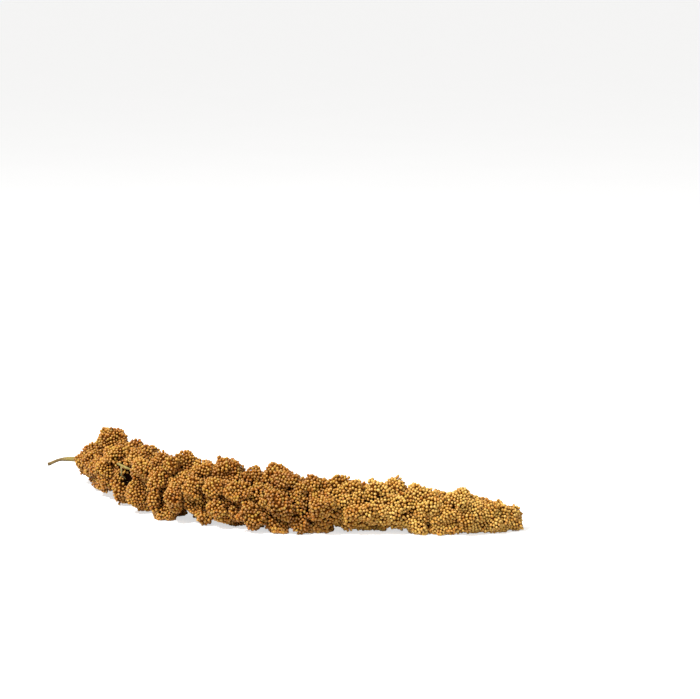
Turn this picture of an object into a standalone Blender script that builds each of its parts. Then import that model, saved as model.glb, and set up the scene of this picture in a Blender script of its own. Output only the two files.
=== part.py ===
"""A cut seed head of foxtail millet, lying on its side on a table.

The rachis is one smooth curve from the cut end of the stalk to the tip of the head. Lobes of seeds stand
out of it and lean towards the tip: those of the front where the real head has them, the others by the
golden angle. The head's skin follows the lobes, and is raised into seeds, drawn larger than life.
"""

import math
import random
from collections import namedtuple

import bmesh
import bpy
import numpy as np

MM = 0.001
UP = np.array((0.0, 0.0, 1.0))
GOLDEN_ANGLE = math.degrees(math.pi * (3 - math.sqrt(5)))

# Points of the rachis, in millimetres, from the cut end to the tip.
RACHIS = ((8, -12, 12), (19, -10, 16), (45, -13, 17.5), (90, -39, 20), (125, -54, 19.5), (165, -58, 18.5),
          (205, -54, 17.5), (255, -30, 15), (292, -14, 12), (315, 6, 7))
# The table's height in the same frame. The lowest lobes are pressed flat on it.
TABLE = 2.4
# The middle of the whole head's box, on the table.
BOX_MIDDLE = np.array((163.17, -37.04, TABLE))

# Half the head's thickness at distances along the rachis, all in millimetres.
GIRTH = ((16, 5), (32, 11), (56, 18), (90, 20.5), (150, 19.5), (200, 18.5), (235, 16), (270, 14.5), (305, 13),
         (324, 9.5), (338, 6))

# Lobes of the front: the distance of the middle along the rachis, the turn round it in degrees (0 faces
# the front, 90 is up), the width and the reach from the rachis in millimetres, how many times longer than
# wide, and how far the length turns away from the rachis, in degrees. The last five are short and leave
# gaps among the others.
FRONT_LOBES = (
    (55, 94, 17, 24, 1.2, 122), (44, -4, 10, 15, 1.9, 81), (72, -2, 11, 20, 1.8, 76),
    (89, -46, 11, 22, 1.7, 70), (110, -38, 12, 24, 1.7, 71), (113, 38, 10, 21, 1.8, 13),
    (140, -11, 10, 24, 1.6, 87), (131, -50, 10, 25, 1.7, 10), (127, -24, 7, 24, 1.8, 90),
    (130, 68, 10, 21, 1.2, 18), (86, 90, 8, 23, 1.1, 88), (118, 82, 10, 21, 1.1, 150),
    (132, 110, 10, 23, 1.7, 141), (149, 82, 14, 21, 1.0, 148), (150, 19, 14, 20, 1.1, 28),
    (155, -47, 10, 22, 1.1, 137), (166, -29, 11, 21, 1.4, 68), (165, 93, 14, 23, 1.4, 156),
    (178, 31, 12, 19, 1.7, 169), (174, -38, 9, 19, 1.1, 128), (187, -29, 14, 22, 1.3, 55),
    (182, 88, 9, 20, 1.6, 153), (195, 98, 11, 24, 1.6, 160), (202, 78, 12, 20, 1.6, 177),
    (202, 5, 14, 19, 1.6, 35), (200, -57, 9, 21, 1.6, 26), (211, -48, 10, 20, 1.3, 43),
    (221, -76, 10, 21, 1.8, 2), (219, 81, 11, 18, 1.8, 178), (212, 60, 12, 18, 1.1, 172),
    (223, 6, 14, 17, 1.4, 5), (231, 98, 10, 18, 1.4, 179), (239, 76, 10, 17, 1.3, 4),
    (252, 70, 10, 17, 1.4, 12), (262, 94, 13, 18, 1.1, 179), (239, -13, 11, 16, 1.3, 87),
    (236, -57, 7, 17, 1.1, 178), (247, -6, 9, 16, 1.6, 98), (255, -4, 9, 16, 1.7, 67),
    (264, -15, 12, 15, 1.3, 54), (278, 71, 10, 16, 2.1, 180), (283, 17, 9, 14, 2.0, 180),
    (276, -52, 13, 17, 1.1, 29), (291, -49, 12, 16, 1.5, 5), (300, 67, 15, 16, 1.3, 169),
    (303, -10, 15, 13, 1.2, 174), (312, 58, 11, 12, 1.2, 27), (318, -26, 13, 13, 1.1, 2),
    (324, -6, 12, 10, 1.0, 168), (330, -10, 11, 10, 1.1, 167), (92, 20, 9, 14, 1.0, 0),
    (146, -45, 10, 17, 1.0, 0), (141, 47, 8, 14, 1.0, 0), (193, 38, 7, 13, 1.0, 0), (213, 6, 7, 12, 1.0, 0),
)

LOBE_DRAW = 7
LOBE_LEAN = 30
# The longest of the other lobes are this many times longer than wide.
LOBE_STRETCH = 1.7
FIRST_LOBE = 27
LAST_LOBE = 328
# Lobes by the rule keep this share of their mean width between their middles.
LOBE_SPACING = 0.94

SEED_COLUMNS = 36
SEED_RISE = 0.38
SEED_DIP = 0.26
CORE_SHARE = 0.50
# The way in which the skin is drawn out of the rachis, in degrees from square to it, towards the tip.
SKIN_LEAN = ((16, -60), (32, -35), (56, -5), (90, 15), (130, 22), (295, 25), (324, 45), (338, 70))

STEM_SIDES = 10
STEM_RADII = ((0, 1.2), (2, 1.0), (10, 1.1), (18, 1.6), (45, 1.5), (80, 1.1))
SOCKET_GAP = 0.35
SOCKET_DEPTH = 1.0

Lobe = namedtuple("Lobe", "centre axes half")


def clear_scene():
    for obj in list(bpy.data.objects):
        bpy.data.objects.remove(obj)


def unit(vector):
    return vector / np.linalg.norm(vector)


def between(table, x):
    """The value at x in a table of (x, value) pairs, on straight lines between them."""
    return float(np.interp(x, [row[0] for row in table], [row[1] for row in table]))


def rachis_point(t):
    """The rachis at parameter t, which counts the spans between its points: a smooth curve through all."""
    points = np.array(RACHIS, float)
    points = np.vstack([2 * points[0] - points[1], points, 2 * points[-1] - points[-2]])
    span = min(max(int(t), 0), len(RACHIS) - 2)
    a, b, c, d = points[span:span + 4]
    f = t - span
    return 0.5 * (2 * b + (c - a) * f + (2 * a - 5 * b + 4 * c - d) * f**2 + (3 * b - a - 3 * c + d) * f**3)


def measured_rachis(steps=1400):
    """Distances along the rachis with their points, so that places can be given in millimetres."""
    points = np.array([rachis_point((len(RACHIS) - 1) * i / steps) for i in range(steps + 1)])
    lengths = np.linalg.norm(np.diff(points, axis=0), axis=1)
    return np.concatenate(([0], np.cumsum(lengths))), points


DISTANCES, POINTS = measured_rachis()
DIRECTIONS = np.gradient(POINTS, axis=0)


def rachis_frame(distance):
    """The rachis at a distance from the cut end: its point, and the axes aside, above and along."""
    point = np.array([np.interp(distance, DISTANCES, POINTS[:, i]) for i in range(3)])
    along = unit(np.array([np.interp(distance, DISTANCES, DIRECTIONS[:, i]) for i in range(3)]))
    aside = unit(np.cross(along, UP))
    return point, aside, np.cross(aside, along), along


def outward_at(frame, turn):
    """The way out of the rachis at that turn round it, in degrees."""
    return frame[1] * math.cos(math.radians(turn)) + frame[2] * math.sin(math.radians(turn))


def make_lobe(distance, turn, width, reach, stretch, tilt, lean):
    """An ovoid that grows out of the rachis and leans towards the tip. Its middle is at the distance."""
    lean = math.radians(lean)
    deep_half = 0.30 * reach + 0.20 * width
    frame = rachis_frame(distance - (reach - deep_half) * math.sin(lean))
    outward = outward_at(frame, turn)
    around = np.cross(frame[3], outward)
    axis = outward * math.cos(lean) + frame[3] * math.sin(lean)
    length = np.cross(axis, around) * math.cos(math.radians(tilt)) + around * math.sin(math.radians(tilt))
    axes = np.array((np.cross(length, axis), length, axis))
    half = np.array((width / 2, stretch * width / 2, deep_half))
    return Lobe(frame[0] + axis * (reach - deep_half), axes, half)


def skin_place(distance, turn):
    """Where a lobe's middle comes out of the head, roughly, to keep lobes apart."""
    frame = rachis_frame(distance)
    return frame[0] + outward_at(frame, turn) * 0.8 * between(GIRTH, distance)


def make_lobes():
    """The front's lobes, then the others: a spiral of likely places, each used where there is room."""
    draw = random.Random(LOBE_DRAW)
    rows = list(FRONT_LOBES)
    places = [(skin_place(row[0], row[1]), row[2] * math.sqrt(row[4])) for row in rows]
    for i in range(3 * (LAST_LOBE - FIRST_LOBE)):
        distance = FIRST_LOBE + i / 3
        turn = i * GOLDEN_ANGLE
        girth = between(GIRTH, distance)
        width = (0.38 * girth + 5.5) * draw.uniform(0.85, 1.2)
        place = skin_place(distance, turn)
        if all(np.linalg.norm(place - other) > LOBE_SPACING * (width + taken) / 2 for other, taken in places):
            stretch = draw.uniform(1, LOBE_STRETCH)
            reach = girth * draw.uniform(0.92, 1.06)
            rows.append((distance, turn, width / math.sqrt(stretch), reach, stretch, draw.uniform(0, 180)))
            places.append((place, width))
    return [make_lobe(*row, LOBE_LEAN * draw.uniform(0.8, 1.2)) for row in rows]


def seed_rings():
    """Distances of the rings of seeds and valleys, closer where the head is thinner, with their spacing."""
    rings, distance = [], GIRTH[0][0]
    while distance < GIRTH[-1][0]:
        spacing = 2 * math.pi * between(GIRTH, distance) / SEED_COLUMNS
        slope = (between(GIRTH, distance + 1) - between(GIRTH, distance - 1)) / 2
        rings.append((distance, spacing))
        distance += spacing * math.sqrt(3) / 2 / math.hypot(1, slope)
    return rings


def ring_frame(distance):
    """Where the skin's rays of one ring start on the rachis, and their lean in radians."""
    lean = math.radians(between(SKIN_LEAN, distance))
    return rachis_frame(distance - between(GIRTH, distance) * math.tan(lean)), lean


def skin_rays(rings):
    """For each point of the skin, where its ray starts on the rachis and its way. The two ends come last."""
    origins, ways = [], []
    for i, (distance, _) in enumerate(rings):
        frame, lean = ring_frame(distance)
        for j in range(SEED_COLUMNS):
            outward = outward_at(frame, 360 * (j + 0.5 * (i % 2)) / SEED_COLUMNS)
            origins.append(frame[0])
            ways.append(outward * math.cos(lean) + frame[3] * math.sin(lean))
    for (distance, _), sign in ((rings[0], -1), (rings[-1], 1)):
        frame, _ = ring_frame(distance)
        origins.append(frame[0])
        ways.append(sign * frame[3])
    return np.array(origins), np.array(ways)


def skin_lengths(origins, ways, lobes):
    """How far each ray runs to the outermost lobe that it leaves, or to the core where it meets none."""
    lengths = np.zeros(len(ways))
    for lobe in lobes:
        start = (origins - lobe.centre) @ lobe.axes.T / lobe.half
        way = ways @ lobe.axes.T / lobe.half
        a, b, c = (way * way).sum(1), (start * way).sum(1), (start * start).sum(1) - 1
        inside = b * b - a * c
        found = np.where(inside > 0, (np.sqrt(np.maximum(inside, 0)) - b) / a, 0)
        lengths = np.maximum(lengths, found)
    return lengths


def seed_kind(i, j):
    """0 for the top of a seed, 1 and 2 for the valleys: each triangle of the net has one of each."""
    return (j - i // 2 - i) % 3


def skin_points(rings, lobes):
    origins, ways = skin_rays(rings)
    lengths = skin_lengths(origins, ways, lobes)
    for i, (distance, spacing) in enumerate(rings):
        core = CORE_SHARE * between(GIRTH, distance)
        for j in range(SEED_COLUMNS):
            k = i * SEED_COLUMNS + j
            lift = SEED_RISE if seed_kind(i, j) == 0 else -SEED_DIP
            lengths[k] = max(lengths[k], core) + lift * spacing
    lowest = np.where(ways[:, 2] < 0, (TABLE - origins[:, 2]) / np.minimum(ways[:, 2], -1e-9), np.inf)
    return origins + ways * np.minimum(lengths, lowest)[:, None]


def new_object(name, bm):
    bmesh.ops.recalc_face_normals(bm, faces=bm.faces)
    mesh = bpy.data.meshes.new(name)
    bm.to_mesh(mesh)
    bm.free()
    obj = bpy.data.objects.new(name, mesh)
    bpy.context.scene.collection.objects.link(obj)
    return obj


def add_points(bm, points):
    """Vertices at points of the drawing frame, in the finished head's frame and in metres."""
    return [bm.verts.new((point - BOX_MIDDLE) * MM) for point in points]


def skin_object(name, lobes):
    """The whole head's skin: a net of triangles round the rachis, closed at each end by a fan."""
    rings = seed_rings()
    bm = bmesh.new()
    verts = add_points(bm, skin_points(rings, lobes))
    base, tip = verts[-2:]
    rows = [verts[i * SEED_COLUMNS:(i + 1) * SEED_COLUMNS] for i in range(len(rings))]
    for j in range(SEED_COLUMNS):
        k = (j + 1) % SEED_COLUMNS
        bm.faces.new((rows[0][j], rows[0][k], base))
        bm.faces.new((rows[-1][j], rows[-1][k], tip))
        for i, (lower, upper) in enumerate(zip(rows, rows[1:])):
            if i % 2:
                bm.faces.new((lower[j], upper[j], upper[k]))
                bm.faces.new((lower[j], upper[k], lower[k]))
            else:
                bm.faces.new((lower[j], upper[j], lower[k]))
                bm.faces.new((upper[j], upper[k], lower[k]))
    return new_object(name, bm)


def tube_object(name, stations):
    """A closed tube along the rachis. Its stations are (distance, radius) pairs in millimetres."""
    bm = bmesh.new()
    rings = []
    for distance, radius in stations:
        frame = rachis_frame(distance)
        middle = frame[0] + frame[3] * min(distance, 0)
        turns = [360 * i / STEM_SIDES for i in range(STEM_SIDES)]
        rings.append(add_points(bm, [middle + outward_at(frame, turn) * radius for turn in turns]))
    for lower, upper in zip(rings, rings[1:]):
        for j in range(STEM_SIDES):
            k = (j + 1) % STEM_SIDES
            bm.faces.new((lower[j], lower[k], upper[k], upper[j]))
    bm.faces.new(rings[0])
    bm.faces.new(rings[-1])
    return new_object(name, bm)


def stem_stations(gap, reach):
    """The stalk's radii along it, widened by a gap, and with both ends moved out by a reach."""
    stations = [[distance, radius + gap] for distance, radius in STEM_RADII]
    stations[0][0] -= reach
    stations[-1][0] += reach
    return stations


def cut_socket(obj):
    """Bores the blind hole that holds the stalk."""
    cutter = tube_object("socket_cutter", stem_stations(SOCKET_GAP, SOCKET_DEPTH))
    modifier = obj.modifiers.new("Socket", "BOOLEAN")
    modifier.operation = "DIFFERENCE"
    modifier.object = cutter
    bpy.context.view_layer.objects.active = obj
    bpy.ops.object.modifier_apply(modifier=modifier.name)
    bpy.data.objects.remove(cutter)


def finish(obj, name, colour, roughness):
    material = bpy.data.materials.new(name)
    material.use_nodes = True
    shader = material.node_tree.nodes["Principled BSDF"]
    shader.inputs["Base Color"].default_value = colour
    shader.inputs["Roughness"].default_value = roughness
    obj.data.materials.clear()
    obj.data.materials.append(material)


def build_seed_head():
    head = skin_object("seed_head", make_lobes())
    cut_socket(head)
    finish(head, "millet_seed", (0.46, 0.25, 0.07, 1), 0.55)


def build_stem():
    stem = tube_object("stem", stem_stations(0, 0))
    finish(stem, "dry_stalk", (0.30, 0.24, 0.09, 1), 0.7)
    stem.data.shade_smooth()


clear_scene()
build_seed_head()
build_stem()
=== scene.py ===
"""A cut seed head of foxtail millet, lying on its side: grains packed on lobes round a dry stalk.

The lobes stand where the solid's lobes stand. Each is a bed of dark husk, covered with grains that keep an
even spacing over the whole head. Branchlets join the lobes to the rachis, and fine bristles stand out
between the grains.
"""

import math
import random
from collections import namedtuple

import bmesh
import bpy
import numpy as np
from mathutils import Matrix, Vector
from mathutils.bvhtree import BVHTree
from mathutils.kdtree import KDTree


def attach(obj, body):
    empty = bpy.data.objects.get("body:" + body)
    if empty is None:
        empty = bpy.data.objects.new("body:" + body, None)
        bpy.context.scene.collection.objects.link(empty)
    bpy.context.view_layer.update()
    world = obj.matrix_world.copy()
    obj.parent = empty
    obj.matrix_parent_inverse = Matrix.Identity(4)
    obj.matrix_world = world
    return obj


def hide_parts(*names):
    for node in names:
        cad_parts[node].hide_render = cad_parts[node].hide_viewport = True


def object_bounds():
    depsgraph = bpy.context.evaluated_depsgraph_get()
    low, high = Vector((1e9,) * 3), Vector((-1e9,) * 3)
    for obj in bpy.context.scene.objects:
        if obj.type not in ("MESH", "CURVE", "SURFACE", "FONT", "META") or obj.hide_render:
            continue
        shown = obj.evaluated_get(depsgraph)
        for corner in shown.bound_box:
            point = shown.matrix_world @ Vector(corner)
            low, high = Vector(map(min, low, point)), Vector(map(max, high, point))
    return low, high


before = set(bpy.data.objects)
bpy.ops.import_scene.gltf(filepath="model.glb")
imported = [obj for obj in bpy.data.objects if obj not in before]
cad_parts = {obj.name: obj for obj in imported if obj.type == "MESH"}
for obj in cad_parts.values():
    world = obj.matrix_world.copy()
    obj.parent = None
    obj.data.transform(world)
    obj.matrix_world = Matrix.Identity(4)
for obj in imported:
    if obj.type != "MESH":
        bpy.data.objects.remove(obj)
CAD_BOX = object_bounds()

MM = 0.001
UP = np.array((0.0, 0.0, 1.0))
GOLDEN_TURN = math.pi * (3 - math.sqrt(5))

# Points of the rachis, in millimetres, from the cut end to the tip, and the middle of the head's box.
RACHIS = ((8, -12, 12), (19, -10, 16), (45, -13, 17.5), (90, -39, 20), (125, -54, 19.5), (165, -58, 18.5),
          (205, -54, 17.5), (255, -30, 15), (292, -14, 12), (315, 6, 7))
BOX_MIDDLE = np.array((163.17, -37.04, 2.4))

# Half the head's thickness at distances along the rachis, in millimetres.
GIRTH = ((16, 5), (32, 11), (56, 18), (90, 20.5), (150, 19.5), (200, 18.5), (235, 16), (270, 14.5),
         (305, 13), (324, 9.5), (338, 6))

# Lobes of the front: the distance of the middle along the rachis, the turn round it in degrees (0 faces
# the front, 90 is up), the width and the reach from the rachis in millimetres, how many times longer than
# wide, and how far the length turns away from the rachis, in degrees. The last five are short and leave
# gaps among the others.
FRONT_LOBES = (
    (55, 94, 17, 24, 1.2, 122), (44, -4, 10, 15, 1.9, 81), (72, -2, 11, 20, 1.8, 76),
    (89, -46, 11, 22, 1.7, 70), (110, -38, 12, 24, 1.7, 71), (113, 38, 10, 21, 1.8, 13),
    (140, -11, 10, 24, 1.6, 87), (131, -50, 10, 25, 1.7, 10), (127, -24, 7, 24, 1.8, 90),
    (130, 68, 10, 21, 1.2, 18), (86, 90, 8, 23, 1.1, 88), (118, 82, 10, 21, 1.1, 150),
    (132, 110, 10, 23, 1.7, 141), (149, 82, 14, 21, 1.0, 148), (150, 19, 14, 20, 1.1, 28),
    (155, -47, 10, 22, 1.1, 137), (166, -29, 11, 21, 1.4, 68), (165, 93, 14, 23, 1.4, 156),
    (178, 31, 12, 19, 1.7, 169), (174, -38, 9, 19, 1.1, 128), (187, -29, 14, 22, 1.3, 55),
    (182, 88, 9, 20, 1.6, 153), (195, 98, 11, 24, 1.6, 160), (202, 78, 12, 20, 1.6, 177),
    (202, 5, 14, 19, 1.6, 35), (200, -57, 9, 21, 1.6, 26), (211, -48, 10, 20, 1.3, 43),
    (221, -76, 10, 21, 1.8, 2), (219, 81, 11, 18, 1.8, 178), (212, 60, 12, 18, 1.1, 172),
    (223, 6, 14, 17, 1.4, 5), (231, 98, 10, 18, 1.4, 179), (239, 76, 10, 17, 1.3, 4),
    (252, 70, 10, 17, 1.4, 12), (262, 94, 13, 18, 1.1, 179), (239, -13, 11, 16, 1.3, 87),
    (236, -57, 7, 17, 1.1, 178), (247, -6, 9, 16, 1.6, 98), (255, -4, 9, 16, 1.7, 67),
    (264, -15, 12, 15, 1.3, 54), (278, 71, 10, 16, 2.1, 180), (283, 17, 9, 14, 2.0, 180),
    (276, -52, 13, 17, 1.1, 29), (291, -49, 12, 16, 1.5, 5), (300, 67, 15, 16, 1.3, 169),
    (303, -10, 15, 13, 1.2, 174), (312, 58, 11, 12, 1.2, 27), (318, -26, 13, 13, 1.1, 2),
    (324, -6, 12, 10, 1.0, 168), (330, -10, 11, 10, 1.1, 167), (92, 20, 9, 14, 1.0, 0),
    (146, -45, 10, 17, 1.0, 0), (141, 47, 8, 14, 1.0, 0), (193, 38, 7, 13, 1.0, 0), (213, 6, 7, 12, 1.0, 0),
)
# Small lobes against the stalk, in the front's gaps and at the tip.
SMALL_LOBES = (
    (29, -24, 8, 9, 1.0, 0), (105, 24, 10, 15.5, 1.3, 60), (78, 38, 8, 14, 1.4, 20),
    (93, 47, 8, 16, 1.3, 0), (328, 28, 11, 10.5, 1.2, 0), (331, 105, 11, 8, 1.1, 0),
    (332, 150, 9, 6.5, 1.0, 0),
)
LOBE_DRAW = 7
# The other lobes: where they begin and end along the rachis, how many likely places there are on each
# millimetre of it, how close lobes may come, as a share of their widths, and how much longer than wide the
# longest are.
FIRST_LOBE = 27
LAST_LOBE = 328
PLACES_PER_MM = 3
LOBE_SPACING = 0.94
LOBE_STRETCH = 1.7
# How far the lobes lean to the tip, in degrees.
LOBE_LEAN = 30
# The lobes' width in the finished head, as a share of the solid's, and both width and reach at distances
# along the rachis.
LOBE_SLIM = 0.90
TIP_SHARES = ((298, 1.0), (322, 0.84))
# How blunt the lobes are: 2 is an ovoid, and more is squarer.
LOBE_BLUNT = 2.45
# The bumps of a lobe's surface: how high and how far apart, in millimetres.
SWELLS = ((0.70, 7.5), (0.36, 4.3))
# Lobes with their middles farther apart than this don't touch.
LOBE_NEAR = 40
# The core's thickness as a share of the head's, at distances along the rachis, and how far apart its ovoids
# are and how long each is, from its middle.
CORE_SHARES = ((110, 0.5), (150, 0.55), (200, 0.61), (240, 0.68), (300, 0.80), (322, 0.84), (332, 0.76))
CORE_STEP = 7
CORE_HALF = 8.0
# The core bears no grains in the front's open gap: the distance, the turn and the reach of its middle, and
# its radius.
OPEN_GAP = (92, 20, 11, 9)

GRAIN_DRAW = 11
# Likely places for grains on a square millimetre of a lobe, and the least distance between two grains.
PLACES_PER_MM2 = 2.8
GRAIN_APART = 1.34
# The distance to which grains push each other, the share of it that they go at a time, and how often.
GRAIN_PUSH = 2.0
PUSH_SHARE = 0.22
PUSH_ROUNDS = 6
# A place on a lobe farther than this from all grains is bare and gets a grain too. Then they push again.
GRAIN_BARE = 1.35
LAST_ROUNDS = 2
# A point of the bed of husk farther than this from all grains is bare too.
BED_BARE = 1.65
# How deep in another lobe grains still start, and how deep they may end, in millimetres.
FREE_DEPTH = 1.0
HIDDEN_DEPTH = 1.5
# A grain with no more than this many grains in reach, itself among them, stands alone and goes.
COMPANY = 7
COMPANY_REACH = 1.6 * GRAIN_PUSH
# The outside is looked at this many ways, from this far above a grain, in millimetres. A grain that sees
# less than the least share of it goes. How much a grain sees sets its painted shade, and the last number
# paints a grain on top of a bump lighter and one in a dip darker.
OPEN_WAYS = 40
OPEN_LIFT = 0.7
LEAST_OPEN = 0.02
SWELL_PAINTED_LIGHT = 0.12
# A grain's half width, half thickness and half length, its least and greatest size, and its size at
# distances along the rachis.
GRAIN_HALF = (0.95, 0.88, 1.05)
GRAIN_SIZES = (0.82, 1.12)
GRAIN_SCALES = ((130, 1.0), (190, 1.05), (265, 1.06), (295, 0.98))
# How much the grains lean to their lobe's end, how askew they are, and how unevenly far out they stand, in
# millimetres.
GRAIN_LEAN = 0.30
GRAIN_ASKEW = 0.32
GRAIN_UNEVEN = 0.15
# How high the middle of a grain lies on the table, and how far grains may stand out of the solid's box.
GRAIN_REST = 0.95
BOX_PLAY = 0.9
# Yellowness of the grains at distances along the rachis.
RIPENESS = (
    (0, 0.28), (130, 0.32), (170, 0.16), (214, 0.14), (234, 0.68), (254, 1.2), (290, 1.1), (340, 1.15),
)
# How far from the lobes' surface the middles of the grains are, and how deep below it the bed of husk is.
GRAIN_LIFT = -0.5
BED_DEPTH = 1.15
BED_VOXEL = 1.25

# The stalk's radius at distances along it, its sides, its ribs and their height as a share of the radius.
STALK_RADII = (
    (0, 1.15), (1.2, 1.05), (4, 0.92), (9, 0.95), (12, 1.2), (18, 1.5), (45, 1.5), (80, 1.2), (200, 0.9),
    (330, 0.5),
)
STALK_SIDES = 28
STALK_RIBS = 7
RIB_HEIGHT = 0.07
# A forked branchlet that shows in the gap near the cut end: the distance along the rachis, the turn and the
# reach of its points, and its radii, in millimetres.
FORK = (
    (((78, 36, 6), (84, 32, 11.6), (91, 29, 13.4), (97, 27, 13.0), (100, 27, 9)),
     (0.5, 0.62, 0.74, 0.72, 0.6)),
    (((91, 28.5, 13.2), (93, 19, 13.6), (93.5, 5, 13.2), (93, -8, 10)),
     (0.55, 0.5, 0.48, 0.45)),
)
# The stalks' pattern of fibres is drawn out along them, so that one unit of it is this many millimetres.
FIBRE_LENGTH = 12
BRANCHLET_DRAW = 5

BRISTLE_DRAW = 3
BRISTLE_WAYS = 7
BRISTLE_LENGTHS = (2.2, 4.2)
BRISTLE_RADII = (0.07, 0.06, 0.045, 0.02)
# The corners of the space that the bristles keep to.
BRISTLE_BOX = [
    np.array(corner) / MM + BOX_MIDDLE + inwards for corner, inwards in zip(CAD_BOX, (0.5, -0.5))
]

# The camera: its place in metres, its turn round the vertical and its dip in degrees, and its lens in
# millimetres.
CAMERA_PLACE = (0.64103, -1.13976, 0.3186)
CAMERA_TURN = 26.807
CAMERA_DIP = 9.637
CAMERA_LENS = 119.88

Lobe = namedtuple("Lobe", "centre axes half distance")
Grains = namedtuple("Grains", "places owners normals axes seen scales")


def unit(vector):
    return vector / np.linalg.norm(vector)


def unit_rows(vectors):
    return vectors / np.maximum(np.linalg.norm(vectors, axis=1), 1e-9)[:, None]


def between(table, x):
    """The value at x in a table of (x, value) pairs, on straight lines between them."""
    return np.interp(x, [row[0] for row in table], [row[1] for row in table])


def rachis_point(t):
    """The rachis at parameter t, which counts the spans between its points: a smooth curve through all."""
    points = np.array(RACHIS, float)
    points = np.vstack([2 * points[0] - points[1], points, 2 * points[-1] - points[-2]])
    span = min(max(int(t), 0), len(RACHIS) - 2)
    a, b, c, d = points[span:span + 4]
    f = t - span
    return 0.5 * (2 * b + (c - a) * f + (2 * a - 5 * b + 4 * c - d) * f**2 + (3 * b - a - 3 * c + d) * f**3)


def measured_rachis(steps=1400):
    """Distances along the rachis with their points, so that places can be given in millimetres."""
    points = np.array([rachis_point((len(RACHIS) - 1) * i / steps) for i in range(steps + 1)])
    lengths = np.linalg.norm(np.diff(points, axis=0), axis=1)
    return np.concatenate(([0], np.cumsum(lengths))), points


DISTANCES, POINTS = measured_rachis()
DIRECTIONS = np.gradient(POINTS, axis=0)


def rachis_frame(distance):
    """The rachis at a distance from the cut end: its point, and the axes aside, above and along."""
    point = np.array([np.interp(distance, DISTANCES, POINTS[:, i]) for i in range(3)])
    along = unit(np.array([np.interp(distance, DISTANCES, DIRECTIONS[:, i]) for i in range(3)]))
    aside = unit(np.cross(along, UP))
    return point, aside, np.cross(aside, along), along


def outward_at(frame_there, turn):
    """The way out of the rachis at that turn round it, in degrees."""
    return frame_there[1] * math.cos(math.radians(turn)) + frame_there[2] * math.sin(math.radians(turn))


# Lobes


def make_lobe(distance, turn, width, reach, stretch, tilt, lean):
    """An ovoid that grows out of the rachis and leans towards the tip. Its middle is at the distance."""
    width, reach = between(TIP_SHARES, distance) * np.array((width, reach))
    lean = math.radians(lean)
    deep_half = 0.30 * reach + 0.20 * width
    there = rachis_frame(distance - (reach - deep_half) * math.sin(lean))
    outward = outward_at(there, turn)
    around = np.cross(there[3], outward)
    axis = outward * math.cos(lean) + there[3] * math.sin(lean)
    length = np.cross(axis, around) * math.cos(math.radians(tilt)) + around * math.sin(math.radians(tilt))
    axes = np.array((np.cross(length, axis), length, axis))
    half = np.array((LOBE_SLIM * width / 2, LOBE_SLIM * stretch * width / 2, deep_half))
    return Lobe(there[0] + axis * (reach - deep_half), axes, half, distance)


def skin_place(distance, turn):
    """Where a lobe's middle comes out of the head, roughly, to keep lobes apart."""
    there = rachis_frame(distance)
    return there[0] + outward_at(there, turn) * 0.8 * between(GIRTH, distance)


def make_lobes():
    """The front's lobes, a spiral of others, each where there is room, and the small ones in the gaps."""
    draw = random.Random(LOBE_DRAW)
    rows = list(FRONT_LOBES)
    places = [(skin_place(row[0], row[1]), row[2] * math.sqrt(row[4])) for row in rows]
    for i in range(PLACES_PER_MM * (LAST_LOBE - FIRST_LOBE)):
        distance = FIRST_LOBE + i / PLACES_PER_MM
        turn = i * math.degrees(GOLDEN_TURN)
        girth = between(GIRTH, distance)
        width = (0.38 * girth + 5.5) * draw.uniform(0.85, 1.2)
        place = skin_place(distance, turn)
        gaps = ((np.linalg.norm(place - other), (width + taken) / 2) for other, taken in places)
        if all(gap > LOBE_SPACING * touching for gap, touching in gaps):
            stretch = draw.uniform(1, LOBE_STRETCH)
            reach = girth * draw.uniform(0.92, 1.06)
            rows.append((distance, turn, width / math.sqrt(stretch), reach, stretch, draw.uniform(0, 180)))
            places.append((place, width))
    rows += SMALL_LOBES
    return [make_lobe(*row, LOBE_LEAN * draw.uniform(0.8, 1.2)) for row in rows]


def make_core():
    """The thick of the head round the rachis, as a row of ovoids that the lobes grow out of."""
    core = []
    for distance in range(FIRST_LOBE + 6, LAST_LOBE, CORE_STEP):
        point, aside, above, along = rachis_frame(distance)
        girth = between(CORE_SHARES, distance) * between(GIRTH, distance)
        half = np.array((girth, girth, CORE_HALF))
        core.append(Lobe(point, np.array((aside, above, along)), half, distance))
    return core


def lattice(count):
    """Ways out of a point, spread evenly over all sides."""
    height = 1 - (2 * np.arange(count) + 1) / count
    turn = np.arange(count) * GOLDEN_TURN
    ring = np.sqrt(1 - height * height)
    return np.stack([ring * np.cos(turn), ring * np.sin(turn), height], 1)


SWELL_WAYS = lattice(7)


def swell(points):
    """How far the lobes' surface stands out of a smooth ovoid at points, in millimetres."""
    total = np.zeros(len(points))
    for height, length in SWELLS:
        phases = points @ SWELL_WAYS.T * 2 * math.pi / length + np.arange(len(SWELL_WAYS)) * 1.7
        total += height * np.sin(phases).sum(1) / math.sqrt(len(SWELL_WAYS) / 2)
    return total


def blunt_length(points):
    """1 on the blunt form of half size 1 round the origin, less inside it and more outside."""
    return (np.abs(points)**LOBE_BLUNT).sum(1)**(1 / LOBE_BLUNT)


def depth_in(points, lobe):
    """1 on the lobe's form, less inside it and more outside."""
    return blunt_length((points - lobe.centre) @ lobe.axes.T / lobe.half)


def sunk_in(points, lobe, swells):
    """How far the points are below the lobe's swollen surface, in millimetres."""
    length = np.linalg.norm(points - lobe.centre, axis=1)
    return length / depth_in(points, lobe) + swells - length


def on_lobe(points, lobe, lift):
    """The points moved straight in or out to the lobe's swollen surface, or by a lift above it."""
    away = points - lobe.centre
    length = np.linalg.norm(away, axis=1)
    surface = length / depth_in(points, lobe)
    return lobe.centre + away / length[:, None] * (surface + swell(points) + lift)[:, None]


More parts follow.
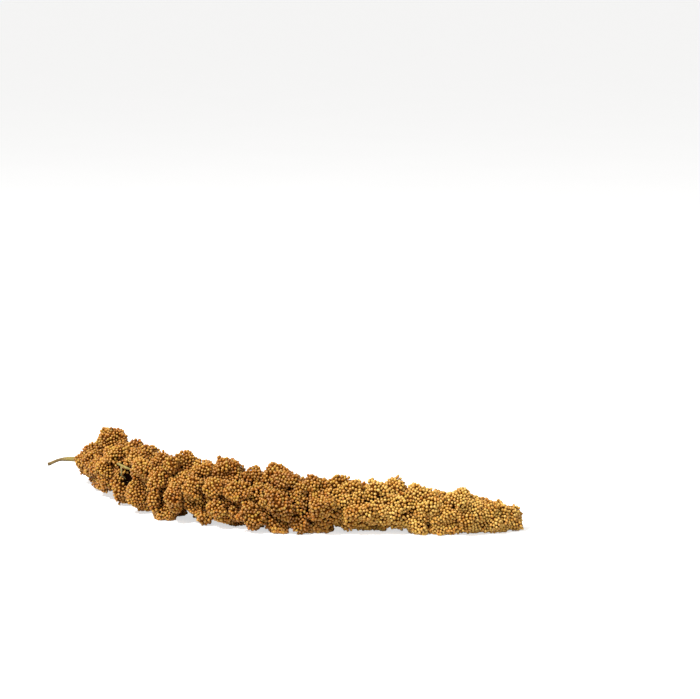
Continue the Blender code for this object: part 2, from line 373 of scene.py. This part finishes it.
def normals_on(points, lobe):
    """The ways straight out of the lobe's form at points on it."""
    local = (points - lobe.centre) @ lobe.axes.T / lobe.half
    steep = np.sign(local) * np.abs(local)**(LOBE_BLUNT - 1) / lobe.half
    return unit_rows(steep @ lobe.axes)


# Grains: where they stand


def tree_of(places):
    """The places, laid out to find those near a point quickly."""
    tree = KDTree(len(places))
    for i, place in enumerate(places):
        tree.insert(place, i)
    tree.balance()
    return tree


def ovoid_area(half, power=1.6):
    """The surface of an ovoid, by the usual close formula."""
    a, b, c = half
    return 4 * math.pi * (((a * b)**power + (a * c)**power + (b * c)**power) / 3)**(1 / power)


def likely_places(lobes, rng):
    """Many places on the lobes that nothing else covers, in a mixed order, with the lobe of each."""
    places, owners = [], []
    for k, lobe in enumerate(lobes):
        ways = unit_rows(rng.normal(size=(int(ovoid_area(lobe.half) * PLACES_PER_MM2), 3)))
        points = on_lobe(lobe.centre + (ways * lobe.half) @ lobe.axes, lobe, GRAIN_LIFT)
        free = np.ones(len(points), bool)
        swells = swell(points)
        for other in lobes:
            if other is not lobe and np.linalg.norm(other.centre - lobe.centre) < LOBE_NEAR:
                free &= sunk_in(points, other, swells) < FREE_DEPTH
        places.append(points[free])
        owners.append(np.full(free.sum(), k))
    places, owners = np.concatenate(places), np.concatenate(owners)
    order = rng.permutation(len(places))
    return places[order], owners[order]


def thinned(places, aparts):
    """Which of the places stay, so that none is closer to an earlier one than its distance."""
    cells, kept = {}, []
    corners = [(i, j, k) for i in (-1, 0, 1) for j in (-1, 0, 1) for k in (-1, 0, 1)]
    homes = np.floor(places / aparts.max()).astype(int).tolist()
    for index, (place, cell, apart) in enumerate(zip(places.tolist(), homes, aparts.tolist())):
        around = ((cell[0] + i, cell[1] + j, cell[2] + k) for i, j, k in corners)
        near = (other for home in around for other in cells.get(home, ()))
        if all(math.dist(place, other) >= apart for other in near):
            cells.setdefault(tuple(cell), []).append(place)
            kept.append(index)
    return np.array(kept)


def eased(places, owners, lobes, pushes_at, rounds):
    """The places after their grains have pushed each other apart over the lobes' surface."""
    groups = [(lobe, np.flatnonzero(owners == k)) for k, lobe in enumerate(lobes)]
    for _ in range(rounds):
        tree = tree_of(places)
        pushes = np.zeros_like(places)
        for i, place in enumerate(places):
            for other, j, distance in tree.find_range(place, pushes_at[i]):
                if j != i and distance > 1e-6:
                    pushes[i] += (place - np.array(other)) * (pushes_at[i] / distance - 1) * PUSH_SHARE
        places = places + pushes
        for lobe, members in groups:
            if len(members):
                places[members] = on_lobe(places[members], lobe, GRAIN_LIFT)
        places = rested(places)
    return places


def bare_spots(likely, places, aparts):
    """Which of the likely places stand farther than their distance from all the places and each other."""
    tree = tree_of(places)
    spots = np.flatnonzero(np.array([tree.find(place)[2] for place in likely]) > aparts)
    return spots[thinned(likely[spots], aparts[spots])]


def bare_bed(bed, places):
    """More places for grains, where the bed is bare: with ways out, openness and the nearest grains."""
    skin = np.array([vert.co for vert in bed.data.vertices]) / MM + BOX_MIDDLE
    ways = np.array([vert.normal for vert in bed.data.vertices])
    bare = bare_spots(skin, places, np.full(len(skin), BED_BARE))
    ways = ways[bare]
    spots = skin[bare] + ways * (BED_DEPTH + GRAIN_LIFT)
    seen = openness(spots, ways, bed)
    tree = tree_of(places)
    nearest = np.array([tree.find(spot)[1] for spot in spots])
    used = (seen > LEAST_OPEN) & ~in_gap(spots)
    return spots[used], ways[used], seen[used], nearest[used]


def rested(places):
    """The places moved so that no grain is below the table's face or stands far out of the solid's box."""
    low, high = np.array(CAD_BOX) / MM + BOX_MIDDLE
    out = np.array((BOX_PLAY, BOX_PLAY, 0))
    return np.clip(places, low - out + GRAIN_REST, high + BOX_PLAY - GRAIN_REST)


# Meshes


def mesh_piece(name, points, faces, replaced):
    """A piece from points of the drawing frame, in millimetres."""
    mesh = bpy.data.meshes.new(name)
    mesh.from_pydata(((points - BOX_MIDDLE) * MM).tolist(), [], faces)
    mesh.shade_smooth()
    piece = bpy.data.objects.new(name, mesh)
    bpy.context.scene.collection.objects.link(piece)
    return declared(piece, replaced)


def declared(piece, replaced):
    """The piece, attached to the root's body, with the solid's part that it stands for hidden."""
    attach(piece, "root")
    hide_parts(replaced)
    return piece


def keep_attribute(piece, name, values):
    """Keeps a number, or a vector, at each vertex of the piece for its material to read."""
    kind, field = ("FLOAT", "value") if values.ndim == 1 else ("FLOAT_VECTOR", "vector")
    attribute = piece.data.attributes.new(name, kind, "POINT")
    attribute.data.foreach_set(field, values.astype(np.float32).ravel())


def select_where(test):
    """Selects the vertices of the mesh in edit mode whose place passes the test."""
    mesh = bpy.context.edit_object.data
    edited = bmesh.from_edit_mesh(mesh)
    for vert in edited.verts:
        vert.select_set(test(vert.co))
    edited.select_flush(True)
    bmesh.update_edit_mesh(mesh)


def taken_shape():
    """The active object's points and triangles. The object itself goes."""
    obj = bpy.context.object
    points = np.array([vert.co for vert in obj.data.vertices])
    faces = np.array([face.vertices[:] for face in obj.data.polygons])
    bpy.data.objects.remove(obj)
    return points, faces


def grain_shape():
    """One grain in its husk, modelled once: ovate, flatter on one side, its blunt point upwards."""
    bpy.ops.object.select_all(action="DESELECT")
    bpy.ops.mesh.primitive_uv_sphere_add(segments=8, ring_count=4, radius=1)
    bpy.ops.object.mode_set(mode="EDIT")
    bpy.context.tool_settings.mesh_select_mode = (True, False, False)
    select_where(lambda co: co.z > 0.9)
    bpy.ops.transform.translate(value=(0, 0, 0.10))
    select_where(lambda co: 0.6 < co.z < 0.8)
    bpy.ops.transform.resize(value=(1.08, 1.08, 1), center_override=(0, 0, 0))
    select_where(lambda co: -0.8 < co.z < -0.6)
    bpy.ops.transform.resize(value=(0.88, 0.88, 1), center_override=(0, 0, 0))
    select_where(lambda co: co.y < -0.5)
    bpy.ops.transform.resize(value=(1, 0.86, 1), center_override=(0, 0, 0))
    bpy.ops.mesh.select_all(action="SELECT")
    bpy.ops.transform.resize(value=GRAIN_HALF, center_override=(0, 0, 0))
    bpy.ops.mesh.quads_convert_to_tris()
    bpy.ops.object.mode_set(mode="OBJECT")
    return taken_shape()


def ovoid_shape():
    """One round form of 320 triangles, of half size 1, for the lobes' beds."""
    bpy.ops.object.select_all(action="DESELECT")
    bpy.ops.mesh.primitive_ico_sphere_add(subdivisions=3, radius=1)
    return taken_shape()


def copies(points, faces, turns, places):
    """The shape once at each place, turned by each turn's rows: all points and all faces."""
    spread = np.einsum("vi,nij->nvj", points, turns) + places[:, None, :]
    joined = faces[None] + np.arange(len(places))[:, None, None] * len(points)
    return spread.reshape(-1, 3), joined.reshape(-1, faces.shape[1]).tolist()


def build_bed(lobes):
    """The dark husk under the grains: all the lobes' ovoids, made one skin."""
    points, faces = ovoid_shape()
    points = points / blunt_length(points)[:, None]
    parts = []
    for lobe in lobes:
        inner = lobe.centre + (points * (lobe.half - BED_DEPTH)) @ lobe.axes
        inner = inner + unit_rows(inner - lobe.centre) * swell(inner)[:, None]
        parts.append(rested(inner))
    all_faces = faces[None] + np.arange(len(lobes))[:, None, None] * len(points)
    all_faces = all_faces.reshape(-1, 3).tolist()
    bed = mesh_piece("husk_bed", np.concatenate(parts), all_faces, "seed_head")
    remesh = bed.modifiers.new("Skin", "REMESH")
    remesh.mode = "VOXEL"
    remesh.voxel_size = BED_VOXEL * MM
    remesh.use_smooth_shade = True
    bpy.context.view_layer.objects.active = bed
    bpy.ops.object.modifier_apply(modifier=remesh.name)
    verts = np.array([vert.co for vert in bed.data.vertices])
    # How far the bed stands out of the rachis, which its material turns into painted shade in the deep
    # gaps.
    keep_attribute(bed, "reach", reach_share(verts / MM + BOX_MIDDLE))
    return bed


def reach_share(points):
    """How far points stand out of the rachis, as a share of the girth there."""
    stations = np.arange(0, len(POINTS), 7)
    shares = []
    for some in np.array_split(points, len(points) // 2000 + 1):
        gaps = np.linalg.norm(some[:, None] - POINTS[None, stations], axis=2)
        shares.append(gaps.min(1) / between(GIRTH, DISTANCES[stations][gaps.argmin(1)]))
    return np.concatenate(shares)


def openness(places, normals, bed):
    """How much of the outside each place sees past the bed, from 0 to 1."""
    mesh = bed.data
    verts = [vert.co.copy() for vert in mesh.vertices]
    tree = BVHTree.FromPolygons(verts, [face.vertices[:] for face in mesh.polygons])
    ways = lattice(OPEN_WAYS)
    seen = np.zeros(len(places))
    for i, (place, normal) in enumerate(zip((places - BOX_MIDDLE) * MM, normals)):
        start = Vector(place + normal * OPEN_LIFT * MM)
        outward = ways[ways @ normal > 0.15]
        seen[i] = sum(tree.ray_cast(start, Vector(way))[0] is None for way in outward) / len(outward)
    return seen


def company(places, shown):
    """How many of the shown grains stand within reach of each place."""
    tree = tree_of(places[shown])
    return np.array([len(tree.find_range(place, COMPANY_REACH)) for place in places])


def grain_turns(normals, axes, rng):
    """The turn of each grain: it stands out of the lobe, leans to the lobe's end and is a little askew."""
    length = unit_rows(normals + GRAIN_LEAN * axes + rng.normal(scale=GRAIN_ASKEW, size=normals.shape))
    across = unit_rows(np.cross(length, rng.normal(size=normals.shape)))
    return np.stack([across, np.cross(length, across), length], 1)


def in_gap(places):
    """Which of the places lie in the front's open gap."""
    distance, turn, reach, radius = OPEN_GAP
    there = rachis_frame(distance)
    return np.linalg.norm(places - there[0] - outward_at(there, turn) * reach, axis=1) < radius


def standing_grains(tufts, core, bed, rng):
    """The grains that show: the lobes' own, eased apart, and more where the lobes or the bed are bare."""
    lobes = tufts + core
    places, owners = likely_places(lobes, rng)
    scales = between(GRAIN_SCALES, np.array([lobe.distance for lobe in lobes])[owners])
    kept = thinned(places, GRAIN_APART * scales)
    first = eased(places[kept], owners[kept], lobes, GRAIN_PUSH * scales[kept], PUSH_ROUNDS)
    spots = bare_spots(places, first, GRAIN_BARE * scales)
    places = np.concatenate((first, places[spots]))
    owners, scales = (np.concatenate((row[kept], row[spots])) for row in (owners, scales))
    places = eased(places, owners, lobes, GRAIN_PUSH * scales, LAST_ROUNDS)

    normals, axes = np.zeros_like(places), np.zeros_like(places)
    buried = np.zeros(len(places), bool)
    swells = swell(places)
    for k, lobe in enumerate(lobes):
        members = owners == k
        normals[members] = normals_on(places[members], lobe)
        axes[members] = lobe.axes[2]
        buried |= ~members & (sunk_in(places, lobe, swells) > HIDDEN_DEPTH)
    seen = openness(places, normals, bed)
    shown = (seen > LEAST_OPEN) & ~buried & ~((owners >= len(tufts)) & in_gap(places))
    shown &= company(places, shown) > COMPANY
    rows = (places, owners, normals, axes, seen, scales)
    places, owners, normals, axes, seen, scales = (row[shown] for row in rows)

    more_places, more_normals, more_seen, nearest = bare_bed(bed, places)
    places = np.concatenate((places, more_places))
    normals = np.concatenate((normals, more_normals))
    # Painted light and shade: a grain on a bump counts as seeing more, one in a dip as seeing less.
    seen = np.concatenate((seen, more_seen)) + SWELL_PAINTED_LIGHT * swell(places)
    owners, axes, scales = (np.concatenate((row, row[nearest])) for row in (owners, axes, scales))
    return Grains(places, owners, normals, axes, seen, scales)


def build_grains(tufts, core, bed):
    """All grains, in five pieces from the cut end to the tip."""
    rng = np.random.default_rng(GRAIN_DRAW)
    lobes = tufts + core
    grains = standing_grains(tufts, core, bed, rng)
    count = len(grains.places)
    distances = np.array([lobe.distance for lobe in lobes])[grains.owners]
    sizes = rng.uniform(*GRAIN_SIZES, count) * grains.scales
    turns = grain_turns(grains.normals, grains.axes, rng) * sizes[:, None, None]
    places = rested(grains.places + grains.normals * rng.normal(scale=GRAIN_UNEVEN, size=count)[:, None])
    tones, hues = rng.random((2, count))
    marks = {
        "tone": tones,
        "hue": hues,
        "lobe_tone": rng.normal(size=len(lobes))[grains.owners],
        # The grains' openness, which their material turns into painted shade.
        "openness_for_painted_shade": grains.seen,
        "ripeness": between(RIPENESS, distances),
    }
    points, faces = grain_shape()
    height = (points[:, 2] - points[:, 2].min()) / np.ptp(points[:, 2])
    names = ("grains_base", "grains_lower", "grains_middle", "grains_upper", "grains_tip")
    pieces = []
    for name, members in zip(names, np.array_split(np.argsort(distances, kind="stable"), len(names))):
        spread, joined = copies(points, faces, turns[members], places[members])
        spread[:, 2] = np.maximum(spread[:, 2], BOX_MIDDLE[2])
        piece = mesh_piece(name, spread, joined, "seed_head")
        keep_attribute(piece, "height", np.tile(height, len(members)))
        for mark, values in marks.items():
            keep_attribute(piece, mark, np.repeat(values[members], len(points)))
        pieces.append(piece)
    return pieces


# Stalk


def tube(route, radii, sides, flutes=0, flute_depth=0.0):
    """Points, faces and fibre places of a closed tube along a route. The fibre places run along it."""
    route, radii = np.array(route, float), np.array(radii, float)
    directions = unit_rows(np.gradient(route, axis=0))
    across = unit(np.cross(directions[0], (0.3, 0.5, 0.8)))
    lengths = np.concatenate(([0], np.cumsum(np.linalg.norm(np.diff(route, axis=0), axis=1))))
    turns = np.arange(sides) * 2 * math.pi / sides
    shape = 1 + flute_depth * np.cos(flutes * turns)
    points, fibres = [], []
    for centre, direction, radius, length in zip(route, directions, radii, lengths):
        across = unit(across - direction * (across @ direction))
        other = np.cross(direction, across)
        ring = np.outer(np.cos(turns) * shape, across) + np.outer(np.sin(turns) * shape, other)
        points.append(centre + ring * radius)
        run = np.full(sides, length / FIBRE_LENGTH)
        fibres.append(np.column_stack((np.cos(turns), np.sin(turns), run)))
    count = len(route)
    faces = []
    for i in range(count - 1):
        for j in range(sides):
            k = (j + 1) % sides
            faces.append((i * sides + j, i * sides + k, (i + 1) * sides + k, (i + 1) * sides + j))
    domes = directions * radii[:, None] * 0.15
    ends = np.array((route[0] - domes[0], route[-1] + domes[-1]))
    first, last = count * sides, count * sides + 1
    for j in range(sides):
        k = (j + 1) % sides
        faces.append((first, k, j))
        faces.append((last, first - sides + j, first - sides + k))
    end_fibres = np.array(((0, 0, lengths[0] / FIBRE_LENGTH), (0, 0, lengths[-1] / FIBRE_LENGTH)))
    return np.vstack(points + [ends]), faces, np.vstack(fibres + [end_fibres])


def tubes_piece(name, tubes, replaced):
    """One piece from several tubes, none of it below the table's face."""
    points, faces, fibres, count = [], [], [], 0
    for tube_points, tube_faces, tube_fibres in tubes:
        points.append(tube_points)
        fibres.append(tube_fibres)
        faces += [tuple(index + count for index in face) for face in tube_faces]
        count += len(tube_points)
    points = np.vstack(points)
    points[:, 2] = np.maximum(points[:, 2], BOX_MIDDLE[2] + 0.1)
    piece = mesh_piece(name, points, faces, replaced)
    keep_attribute(piece, "fibre", np.vstack(fibres))
    return piece


def build_stalk():
    """The cut stalk, ribbed lengthwise, which runs on as the rachis to the tip."""
    stations = np.concatenate((np.arange(0.2, 30, 1.0), np.arange(30, LAST_LOBE, 4.0)))
    route = [rachis_frame(distance)[0] for distance in stations]
    radii = between(STALK_RADII, stations)
    stalk = tube(route, radii, STALK_SIDES, STALK_RIBS, RIB_HEIGHT)
    return tubes_piece("stalk", [stalk], "stem")


def bow(start, end, lift, steps):
    """Points of a shallow bow from start to end, lifted in its middle."""
    shares = np.linspace(0, 1, steps)[:, None]
    return start + (end - start) * shares + np.array(lift) * 4 * shares * (1 - shares)


def build_branchlets(lobes):
    """A branchlet from the rachis into each lobe, and its two side twigs."""
    draw = random.Random(BRANCHLET_DRAW)
    tubes = fork_tubes()
    for lobe in lobes:
        axis = lobe.axes[2]
        reach = lobe.half[2]
        root = rachis_frame(max(lobe.distance - 14, 17))[0]
        end = lobe.centre + axis * reach * 0.5
        tubes.append(tube(bow(root, end, axis * -0.8, 7), np.linspace(0.55, 0.3, 7), 6))
        for _ in range(2):
            side = lobe.axes[0] * draw.uniform(-1, 1) + lobe.axes[1] * draw.uniform(-1, 1)
            twig_end = lobe.centre + side * lobe.half[0] * 0.8 + axis * reach * draw.uniform(0.1, 0.6)
            start = root + (end - root) * draw.uniform(0.45, 0.7)
            tubes.append(tube(bow(start, twig_end, axis * 0.5, 5), np.linspace(0.35, 0.18, 5), 5))
    return tubes_piece("branchlets", tubes, "seed_head")


def fork_tubes():
    """The forked branchlet of the front's gap, its stem and its twig."""
    tubes = []
    for places, radii in FORK:
        route = []
        for distance, turn, reach in places:
            there = rachis_frame(distance)
            route.append(there[0] + outward_at(there, turn) * reach)
        tubes.append(tube(route, radii, 8, 3, 0.06))
    return tubes


def build_bristles(lobes):
    """Fine straw bristles that stand out between the grains, curved to the tip."""
    rng = np.random.default_rng(BRISTLE_DRAW)
    tubes = []
    for lobe in lobes:
        for way in unit_rows(rng.normal(size=(BRISTLE_WAYS, 3))):
            if way[2] < -0.3:
                continue
            foot = on_lobe((lobe.centre + (way * lobe.half) @ lobe.axes)[None], lobe, -0.4)[0]
            if any(depth_in(foot[None], other)[0] < 0.9 for other in lobes if other is not lobe):
                continue
            outward = normals_on(foot[None], lobe)[0]
            lean = unit(outward + 0.8 * lobe.axes[2] + rng.normal(scale=0.35, size=3))
            end = np.clip(foot + lean * rng.uniform(*BRISTLE_LENGTHS), *BRISTLE_BOX)
            foot = np.clip(foot, *BRISTLE_BOX)
            route = bow(foot, end, rng.normal(scale=0.25, size=3), len(BRISTLE_RADII))
            tubes.append(tube(route, BRISTLE_RADII, 3))
    return tubes_piece("bristles", tubes, "seed_head")


# Materials


class Value:
    """A number that changes over a surface, as a socket. Arithmetic on it adds Math nodes."""

    def __init__(self, recipe, socket):
        self.recipe = recipe
        self.socket = socket

    def __add__(self, other):
        return self.recipe.maths("ADD", self, other)

    def __sub__(self, other):
        return self.recipe.maths("SUBTRACT", self, other)

    def __mul__(self, other):
        return self.recipe.maths("MULTIPLY", self, other)

    __radd__ = __add__


class Recipe:
    """A material in the making: its shader, and the nodes that feed it."""

    def __init__(self, name, constants):
        self.material = bpy.data.materials.new(name)
        self.material.use_nodes = True
        self.shader = self.material.node_tree.nodes["Principled BSDF"]
        for socket, value in constants.items():
            self.shader.inputs[socket].default_value = value

    def node(self, kind, settings, inputs, output=0):
        """Adds a node, with its settings first, then the values or links of its sockets."""
        node = self.material.node_tree.nodes.new("ShaderNode" + kind)
        for name, value in settings.items():
            setattr(node, name, value)
        for name, value in inputs.items():
            self.feed(node.inputs[name], value)
        return Value(self, node.outputs[output])

    def feed(self, socket, value):
        if isinstance(value, Value):
            self.material.node_tree.links.new(value.socket, socket)
        else:
            socket.default_value = value

    def maths(self, operation, a, b):
        return self.node("Math", {"operation": operation}, {0: a, 1: b})

    def attribute(self, name, output="Fac"):
        return self.node("Attribute", {"attribute_name": name}, {}, output)

    def place(self):
        return self.node("TexCoord", {}, {}, "Object")

    def noise(self, scale, detail=2.0, place=None):
        inputs = {"Vector": place or self.place(), "Scale": scale, "Detail": detail}
        return self.node("TexNoise", {}, inputs, "Fac")

    def smooth(self, value, low, high):
        """0 below low, 1 above high and a soft step between them."""
        inputs = {"Value": value, "From Min": low, "From Max": high}
        return self.node("MapRange", {"interpolation_type": "SMOOTHSTEP"}, inputs)

    def ramp(self, value, stops):
        """A colour that goes with the value from stop to stop: (place, colour) pairs."""
        node = self.material.node_tree.nodes.new("ShaderNodeValToRGB")
        elements = node.color_ramp.elements
        while len(elements) < len(stops):
            elements.new(0.5)
        for element, (place, colour) in zip(elements, stops):
            element.position = place
            element.color = (*colour, 1)
        self.feed(node.inputs[0], value)
        return Value(self, node.outputs[0])

    def mix(self, share, a, b):
        """The colour a, with that share of b."""
        inputs = {0: share, 6: self.colour(a), 7: self.colour(b)}
        return self.node("Mix", {"data_type": "RGBA"}, inputs, 2)

    def colour(self, value):
        return value if isinstance(value, Value) else (*value, 1)

    def finish(self, colour, roughness, relief, depth, strength=1.0):
        """Connects the colour, the roughness and a relief of that depth in metres."""
        inputs = {"Strength": strength, "Distance": depth, "Height": relief}
        self.feed(self.shader.inputs["Base Color"], colour)
        self.feed(self.shader.inputs["Roughness"], roughness)
        self.feed(self.shader.inputs["Normal"], self.node("Bump", {}, inputs))
        return self.material


def grain_finish():
    """Hard golden husk, each grain its own tone and hue, a painted highlight at its tip, darker red brown
    sides and foot that are partly painted shade, and painted shade in crevices.
    """
    recipe = Recipe("golden_grain", {
        "Coat Weight": 0.12,
        "Coat Roughness": 0.2,
        "Specular IOR Level": 0.3,
        "Specular Tint": (1.0, 0.76, 0.48, 1),
    })
    mottle = recipe.noise(650.0, 3.0)
    fine = recipe.noise(5200.0, 2.0)
    tone = (recipe.attribute("tone") * 0.5 + recipe.attribute("lobe_tone") * 0.06
            + recipe.attribute("ripeness") * 0.5 + mottle * 0.25 - 0.16)
    body = recipe.ramp(tone, (
        (0.0, (0.205, 0.070, 0.007)),
        (0.25, (0.305, 0.120, 0.012)),
        (0.5, (0.43, 0.202, 0.026)),
        (0.75, (0.58, 0.315, 0.056)),
        (1.0, (0.70, 0.440, 0.105)),
    ))
    hue = recipe.attribute("hue")
    body = recipe.mix(recipe.smooth(hue, 0.32, 0.04) * 0.5, body, (0.42, 0.130, 0.011))
    body = recipe.mix(recipe.smooth(hue, 0.70, 0.97) * 0.4, body, (0.46, 0.315, 0.035))
    height = recipe.attribute("height")
    # Painted highlight: the top of each grain is mixed towards pale peach.
    tip = recipe.smooth(height, 0.80, 1.0)
    body = recipe.mix(tip * 0.3, body, (0.80, 0.56, 0.30))
    # The sides and the foot go darker red brown: partly the husk's own colour, partly painted shade where
    # the grains shade each other.
    side = recipe.smooth(height + fine * 0.08, 0.80, 0.45)
    body = recipe.mix(side * 0.4, body, (0.34, 0.105, 0.008))
    foot = recipe.smooth(height + fine * 0.08, 0.50, 0.28)
    body = recipe.mix(foot * 0.7, body, (0.26, 0.058, 0.005))
    # Painted shade: grains that see little of the outside are darkened red brown, and those that see almost
    # nothing nearly black.
    openness_for_painted_shade = recipe.attribute("openness_for_painted_shade")
    body = recipe.mix(recipe.smooth(openness_for_painted_shade, 0.90, 0.36) * 0.50, body, (0.19, 0.056, 0.005))
    body = recipe.mix(recipe.smooth(openness_for_painted_shade, 0.32, 0.04) * 0.55, body, (0.065, 0.021, 0.004))
    return recipe.finish(body, 0.40 + fine * 0.25, fine, 0.00006, 0.6)


def bed_finish():
    """Red brown chaff between the grains, with painted shade that makes it nearly black deep down in the
    gaps among the lobes.
    """
    recipe = Recipe("dark_husk_painted_gap_shade", {"Specular IOR Level": 0.0})
    coarse = recipe.noise(180.0, 3.0)
    fine = recipe.noise(2400.0, 3.0)
    colour = recipe.ramp(coarse * 0.6 + fine * 0.4, (
        (0.32, (0.080, 0.023, 0.004)),
        (0.5, (0.115, 0.034, 0.005)),
        (0.68, (0.150, 0.047, 0.008)),
    ))
    # Painted shade: the bed goes nearly black where it lies deep, close to the rachis.
    deep = recipe.smooth(recipe.attribute("reach") + coarse * 0.2, 0.92, 0.66)
    colour = recipe.mix(deep * 0.97, colour, (0.005, 0.002, 0.0015))
    return recipe.finish(colour, 0.75 + fine * 0.2, fine, 0.0003)


def stalk_finish(name, dark, light, young):
    """Dry straw: fibres run lengthwise, with worn paler ribs and brown specks. It is greener further on."""
    recipe = Recipe(name, {"Specular IOR Level": 0.3})
    fibre = recipe.attribute("fibre", "Vector")
    along = recipe.node("SeparateXYZ", {}, {0: fibre}, 2)
    fine = recipe.noise(5.0, 4.0, fibre)
    streak = recipe.noise(2.0, 2.0, fibre)
    specks = recipe.noise(420.0, 4.0)
    colour = recipe.mix(recipe.smooth(fine * 0.6 + streak * 0.4, 0.35, 0.65), dark, light)
    colour = recipe.mix(recipe.smooth(along, 0.8, 1.35) * 0.65, colour, young)
    colour = recipe.mix(recipe.smooth(specks, 0.56, 0.72) * 0.7, colour, (0.045, 0.024, 0.010))
    return recipe.finish(colour, 0.5 + fine * 0.3, fine, 0.0002)


def bristle_finish():
    """Fine straw, paler in some places than in others."""
    recipe = Recipe("pale_bristle", {})
    tone = recipe.noise(90.0)
    colour = recipe.ramp(tone, ((0.3, (0.30, 0.17, 0.06)), (0.7, (0.62, 0.47, 0.24))))
    return recipe.finish(colour, 0.45 + tone * 0.2, tone, 0.00002)


def floor_finish():
    """A pale matte floor that looks nearly white and still takes soft shadows."""
    recipe = Recipe("pale_floor", {"Emission Strength": 0.64})
    recipe.feed(recipe.shader.inputs["Emission Color"], recipe.node("LightPath", {}, {}, "Is Camera Ray"))
    tone = recipe.noise(6.0)
    colour = recipe.ramp(tone, ((0.0, (0.62, 0.62, 0.62)), (1.0, (0.66, 0.66, 0.66))))
    return recipe.finish(colour, 0.8 + tone * 0.1, tone, 0.0001, 0.1)


def dress(pieces, material):
    for piece in pieces:
        piece.data.materials.clear()
        piece.data.materials.append(material)


# Stage


def build_floor():
    bpy.ops.object.select_all(action="DESELECT")
    bpy.ops.mesh.primitive_plane_add(size=80)
    floor = bpy.context.object
    floor.name = "floor"
    dress([floor], floor_finish())


def soft_light(name, place, size, power):
    """A square studio light that faces the head."""
    light = bpy.data.lights.new(name, "AREA")
    light.size = size
    light.energy = power
    lamp = bpy.data.objects.new(name, light)
    facing = Vector(place).to_track_quat("Z", "Y").to_matrix().to_4x4()
    lamp.matrix_world = Matrix.Translation(place) @ facing
    bpy.context.scene.collection.objects.link(lamp)


def light_studio():
    soft_light("key_light", (-0.35, -0.62, 1.15), 0.26, 32.5)
    soft_light("side_light", (1.3, -0.5, 0.9), 0.9, 4)
    world = bpy.data.worlds.new("studio")
    world.use_nodes = True
    background = world.node_tree.nodes["Background"]
    background.inputs["Color"].default_value = (1.0, 0.99, 0.97, 1)
    background.inputs["Strength"].default_value = 0.40
    bpy.context.scene.world = world
    bpy.context.scene.view_settings.view_transform = "Standard"


def place_camera():
    """The picture's own view, from the front and a little to the right and above."""
    data = bpy.data.cameras.new("camera")
    data.sensor_width = 36
    data.lens = CAMERA_LENS
    camera = bpy.data.objects.new("camera", data)
    turned = Matrix.Rotation(math.radians(CAMERA_TURN), 4, "Z")
    dipped = Matrix.Rotation(math.radians(90 - CAMERA_DIP), 4, "X")
    camera.matrix_world = Matrix.Translation(CAMERA_PLACE) @ turned @ dipped
    bpy.context.scene.collection.objects.link(camera)
    bpy.context.scene.camera = camera


def build_head():
    lobes = make_lobes()
    core = make_core()
    bed = build_bed(lobes + core)
    dress(build_grains(lobes, core, bed), grain_finish())
    dress([bed], bed_finish())
    green = (0.29, 0.225, 0.055)
    dress([build_stalk()], stalk_finish("olive_straw", (0.095, 0.055, 0.016), (0.25, 0.17, 0.06), green))
    green_straw = stalk_finish("green_straw", (0.16, 0.12, 0.035), (0.36, 0.29, 0.10), green)
    dress([build_branchlets(lobes)], green_straw)
    dress([build_bristles(lobes)], bristle_finish())


build_head()
build_floor()
light_studio()
place_camera()
